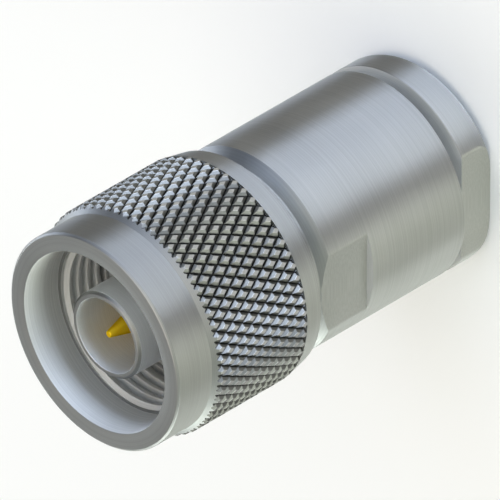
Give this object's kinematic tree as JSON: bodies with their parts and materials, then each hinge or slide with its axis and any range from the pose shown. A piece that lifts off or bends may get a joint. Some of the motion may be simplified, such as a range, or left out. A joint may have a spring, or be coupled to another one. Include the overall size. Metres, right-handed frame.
{
  "type": "n type connector",
  "caption": "Male coaxial cable plug with a knurled screw-on coupling nut, centre pin, and a clamp nut that grips the cable.",
  "frame": {"origin": "centre of the bottom of the part's box: on the axis, in the flat back face of the clamp nut", "axes": "+Z along the axis from the cable to the mate; the flats of body and clamp nut face +Y and -Y; +X is up in the picture"},
  "size_m": [0.021, 0.021, 0.0386],
  "materials": {
    "plated_brass": "satin silver-grey plating",
    "gold_plated_brass": "polished gold plating",
    "white_insulator": "waxy matte",
    "clamp_rubber": "matte",
    "seal_rubber": "matte",
    "spring_bronze": "drawn and bright"
  },
  "bodies": {
    "plug_body": {"plug_body": "plated_brass", "clamp_gasket": "clamp_rubber", "braid_clamp": "plated_brass", "outer_contact": "plated_brass", "front_insulator": "white_insulator", "centre_contact": "gold_plated_brass", "rear_insulator": "white_insulator", "interface_gasket": "seal_rubber"},
    "retaining_ring": {"retaining_ring": "spring_bronze"},
    "coupling_nut": {"coupling_nut": "plated_brass"},
    "thrust_washer": {"thrust_washer": "plated_brass"},
    "clamp_nut": {"clamp_nut": "plated_brass"}
  },
  "joints": [
    {"name": "coupling_float", "type": "slide", "parent": "plug_body", "child": "retaining_ring", "axis": [0, 0, 1], "range_m": [0, 0.0004]},
    {"name": "coupling_spin", "type": "hinge", "parent": "retaining_ring", "child": "coupling_nut", "pos_m": [0, 0, 0.03], "axis": [0, 0, 1], "continuous": true},
    {"name": "clamp_travel", "type": "slide", "parent": "plug_body", "child": "thrust_washer", "axis": [0, 0, -1], "range_m": [0, 0.0039]},
    {"name": "clamp_turn", "type": "hinge", "parent": "thrust_washer", "child": "clamp_nut", "pos_m": [0, 0, 0.004], "axis": [0, 0, -1], "range_deg": [0, 1540]}
  ],
  "couplings": [
    {"joint": "clamp_travel", "follows": "clamp_turn", "m_per_rad": 0.00014436}
  ]
}
